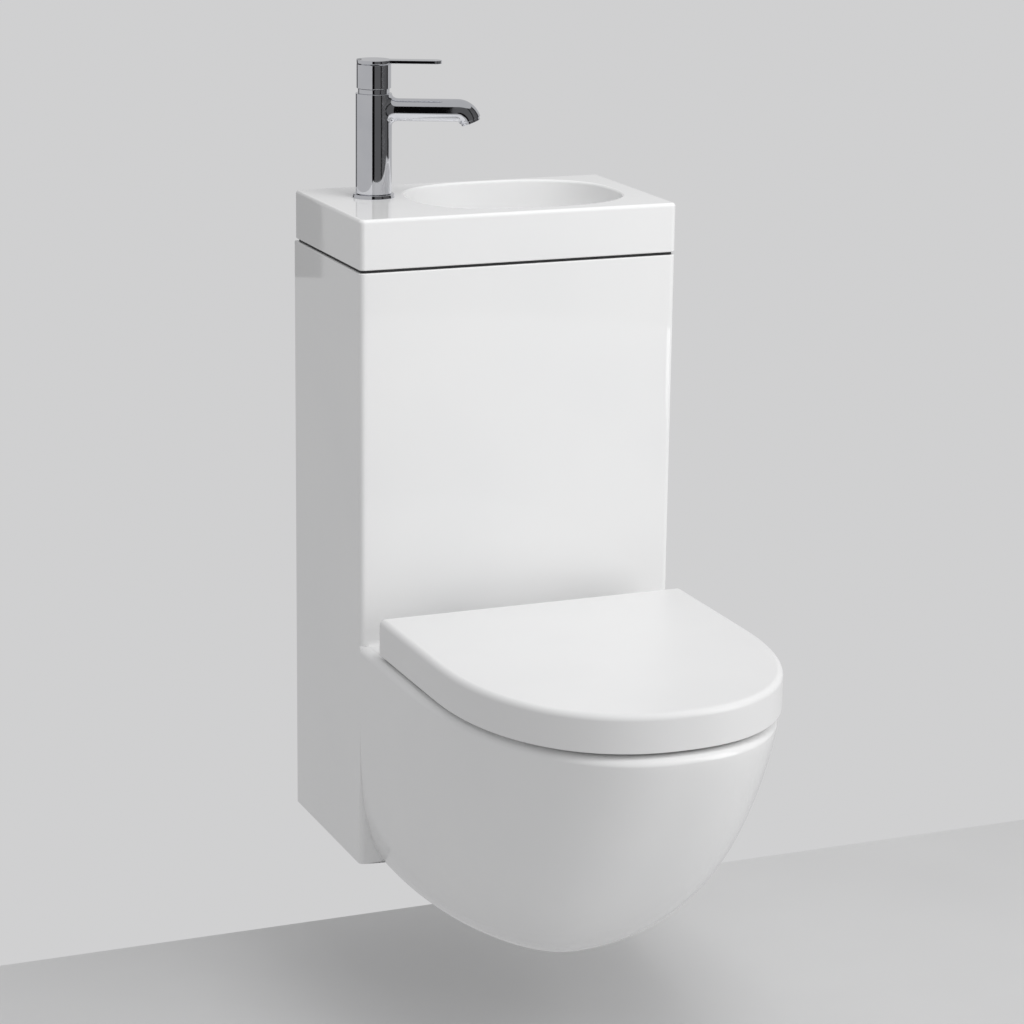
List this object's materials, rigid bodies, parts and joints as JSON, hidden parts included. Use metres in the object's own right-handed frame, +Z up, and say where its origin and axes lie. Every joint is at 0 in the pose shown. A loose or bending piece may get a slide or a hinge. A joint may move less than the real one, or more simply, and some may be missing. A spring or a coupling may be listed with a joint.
{
  "type": "wall-hung toilet with basin",
  "caption": "Wall-hung toilet whose ceramic column holds the cistern and carries a small basin with a lever tap, with a hinged seat and wrap-over lid.",
  "frame": {"origin": "midway between the two wall fixings, on the wall face", "axes": "+X to the right seen from the front, +Y into the wall, +Z up"},
  "size_m": [0.363, 0.6498, 0.9142],
  "materials": {
    "glazed_white": "gloss",
    "rubber_dark": "matte",
    "rubber_light": "matte",
    "steel": "satin",
    "chrome": "polished",
    "brass": "satin",
    "plastic_white": "satin",
    "plastic_grey": "matte",
    "plastic_blue": "satin",
    "plastic_dark": "matte",
    "seat_white": "gloss"
  },
  "bodies": {
    "fixed_body": {"casting_column": "glazed_white", "casting_rim": "glazed_white", "casting_pan": "glazed_white", "casting_bowl": "glazed_white", "casting_trapway": "glazed_white", "casting_outlet": "glazed_white", "basin": "glazed_white", "basin_gasket": "rubber_light", "basin_tie_bolts": "steel", "basin_tie_washers": "steel", "tap_body": "chrome", "tap_foot_ring": "chrome", "tap_neck_ring": "chrome", "tap_cartridge": "plastic_grey", "tap_aerator": "chrome", "tap_washer": "rubber_dark", "tap_nut": "brass", "waste_flange": "chrome", "waste_gasket": "rubber_dark", "waste_nut": "chrome", "trap_nut": "plastic_white", "trap_bottle": "plastic_white", "trap_cup": "plastic_white", "trap_pipe_nut": "plastic_white", "trap_pipe": "plastic_white", "cistern_tank": "plastic_grey", "cistern_lid": "plastic_grey", "fill_valve": "plastic_white", "fill_nut": "plastic_white", "flush_valve": "plastic_white", "flush_valve_nut": "plastic_white", "flush_bend": "plastic_grey", "flush_cone_seal": "rubber_dark", "button_frame": "chrome", "button_pumps": "plastic_dark", "hinge_bases": "chrome", "hinge_pins": "steel", "hinge_studs": "steel", "hinge_washers": "rubber_dark", "hinge_nuts": "brass", "wall_sleeves": "plastic_white", "wall_washers": "steel", "wall_nuts": "steel", "top_brackets": "steel", "top_screws": "steel"},
    "tap_turning_cap": {"tap_cap": "chrome", "tap_stem": "brass"},
    "tap_lever": {"tap_lever": "chrome", "tap_lever_pin": "steel"},
    "waste_plug": {"waste_plug": "chrome"},
    "fill_float": {"fill_float": "plastic_white"},
    "flush_piston": {"flush_piston": "plastic_blue", "flush_seal": "rubber_dark"},
    "button_large": {"button_large": "chrome"},
    "button_small": {"button_small": "chrome"},
    "seat": {"seat": "seat_white", "seat_buffers": "rubber_light"},
    "lid": {"lid": "seat_white", "lid_buffers": "rubber_light"}
  },
  "joints": [
    {"name": "tap_turn", "type": "hinge", "parent": "fixed_body", "child": "tap_turning_cap", "pos_m": [-0.115, -0.073, 0.656], "axis": [0, 0, 1], "range_deg": [-50, 50]},
    {"name": "tap_lift", "type": "hinge", "parent": "tap_turning_cap", "child": "tap_lever", "pos_m": [-0.13015, -0.06672, 0.6806], "axis": [-0.3827, -0.9239, 0], "range_deg": [0, 20]},
    {"name": "plug_press", "type": "slide", "parent": "fixed_body", "child": "waste_plug", "axis": [0, 0, 1], "range_m": [-0.0077, 0]},
    {"name": "float_rise", "type": "slide", "parent": "fixed_body", "child": "fill_float", "axis": [0, 0, 1], "range_m": [0, 0.045]},
    {"name": "flush_lift", "type": "slide", "parent": "fixed_body", "child": "flush_piston", "axis": [0, 0, 1], "range_m": [0, 0.025]},
    {"name": "full_flush_press", "type": "slide", "parent": "fixed_body", "child": "button_large", "axis": [-1, 0, 0], "range_m": [0, 0.006], "stiffness_N_per_m": 400},
    {"name": "half_flush_press", "type": "slide", "parent": "fixed_body", "child": "button_small", "axis": [-1, 0, 0], "range_m": [0, 0.006], "stiffness_N_per_m": 400},
    {"name": "seat_hinge", "type": "hinge", "parent": "fixed_body", "child": "seat", "pos_m": [0, -0.262, 0.094], "axis": [-1, 0, 0], "range_deg": [0, 93]},
    {"name": "lid_hinge", "type": "hinge", "parent": "seat", "child": "lid", "pos_m": [0, -0.262, 0.094], "axis": [1, 0, 0], "range_deg": [-93, 0]}
  ]
}
